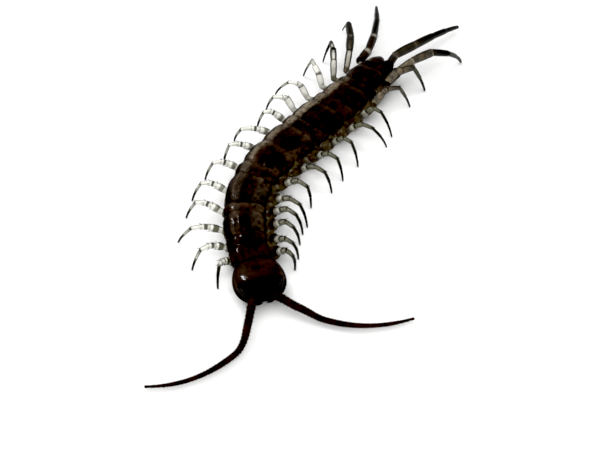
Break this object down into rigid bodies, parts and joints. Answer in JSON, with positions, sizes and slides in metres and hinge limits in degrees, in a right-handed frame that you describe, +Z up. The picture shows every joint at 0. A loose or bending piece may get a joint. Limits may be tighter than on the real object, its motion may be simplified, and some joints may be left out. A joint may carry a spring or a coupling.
{
  "type": "stone centipede",
  "caption": "Stone centipede, life size and standing still: long flat plated body, round head, swept feelers, short bent legs; a natural history display model.",
  "frame": {"origin": "on the floor, under the centre of the whole animal's box, feelers and last legs included", "axes": "+Z up from the floor; the head points roughly along -Y and the tail along +Y; the animal's left side is towards +X"},
  "size_m": [0.0244, 0.0394, 0.0027],
  "materials": {
    "head": "smooth glossy chitin, dark reddish brown, almost black",
    "trunk": "glossy wrinkled chitin, dark brown to black with paler rims",
    "leg": "translucent pale grey-yellow chitin with dark bands and dark tips",
    "dark_leg": "dark brown chitin with pale joints",
    "antenna": "dark brown chitin, softened by fine short hairs",
    "ocelli": "black, polished like small lenses",
    "forcipule": "glossy orange-brown chitin"
  },
  "bodies": {
    "root": {"head": "head", "eye_left": "ocelli", "eye_right": "ocelli", "forcipule_plate": "forcipule", "forcipule_left": "forcipule", "forcipule_right": "forcipule", "trunk_01": "trunk", "trunk_02": "trunk", "trunk_03": "trunk", "trunk_04": "trunk", "trunk_05": "trunk", "trunk_06": "trunk", "trunk_07": "trunk", "trunk_08": "trunk", "trunk_09": "trunk", "trunk_10": "trunk", "trunk_11": "trunk", "trunk_12": "trunk", "trunk_13": "trunk", "trunk_14": "trunk", "trunk_15": "trunk", "telson": "trunk", "leg_left_01": "leg", "leg_left_02": "leg", "leg_left_03": "leg", "leg_left_04": "leg", "leg_left_05": "leg", "leg_left_06": "leg", "leg_left_07": "leg", "leg_left_08": "leg", "leg_left_09": "leg", "leg_left_10": "leg", "leg_left_11": "leg", "leg_left_12": "leg", "leg_left_13": "leg", "leg_left_14": "dark_leg", "leg_left_15": "dark_leg", "leg_right_01": "leg", "leg_right_02": "leg", "leg_right_03": "leg", "leg_right_04": "leg", "leg_right_05": "leg", "leg_right_06": "leg", "leg_right_07": "leg", "leg_right_08": "leg", "leg_right_09": "leg", "leg_right_10": "leg", "leg_right_11": "leg", "leg_right_12": "leg", "leg_right_13": "leg", "leg_right_14": "dark_leg", "leg_right_15": "dark_leg", "antenna_left_1": "antenna", "antenna_left_2": "antenna", "antenna_left_3": "antenna", "antenna_right_1": "antenna", "antenna_right_2": "antenna", "antenna_right_3": "antenna"}
  },
  "joints": []
}
